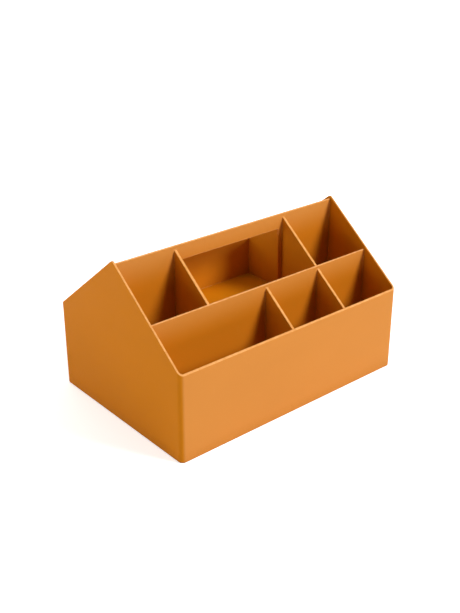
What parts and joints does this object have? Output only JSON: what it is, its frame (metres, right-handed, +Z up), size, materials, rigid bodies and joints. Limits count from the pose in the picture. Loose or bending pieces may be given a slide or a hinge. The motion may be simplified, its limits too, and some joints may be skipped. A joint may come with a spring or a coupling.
{
  "type": "carry-all caddy",
  "caption": "House-shaped open caddy: a tub with gabled ends, stepped bays and a shallow tray under a ridge handle cut into the middle wall, for carrying desk things.",
  "frame": {"origin": "middle of the underside, on the surface that the caddy stands on", "axes": "+X along the handle to the right, -Y to the front, +Z up"},
  "size_m": [0.3372, 0.2322, 0.1964],
  "materials": {
    "caddy_plastic": "satin ochre-orange, through-coloured"
  },
  "bodies": {
    "root": {"tub": "caddy_plastic", "handle_panel": "caddy_plastic", "front_partition": "caddy_plastic", "rear_partition": "caddy_plastic", "tray_floor": "caddy_plastic", "front_upper_left_divider": "caddy_plastic", "front_upper_right_divider": "caddy_plastic", "rear_upper_left_divider": "caddy_plastic", "rear_upper_right_divider": "caddy_plastic", "front_lower_centre_divider": "caddy_plastic", "front_lower_right_divider": "caddy_plastic"}
  },
  "joints": []
}
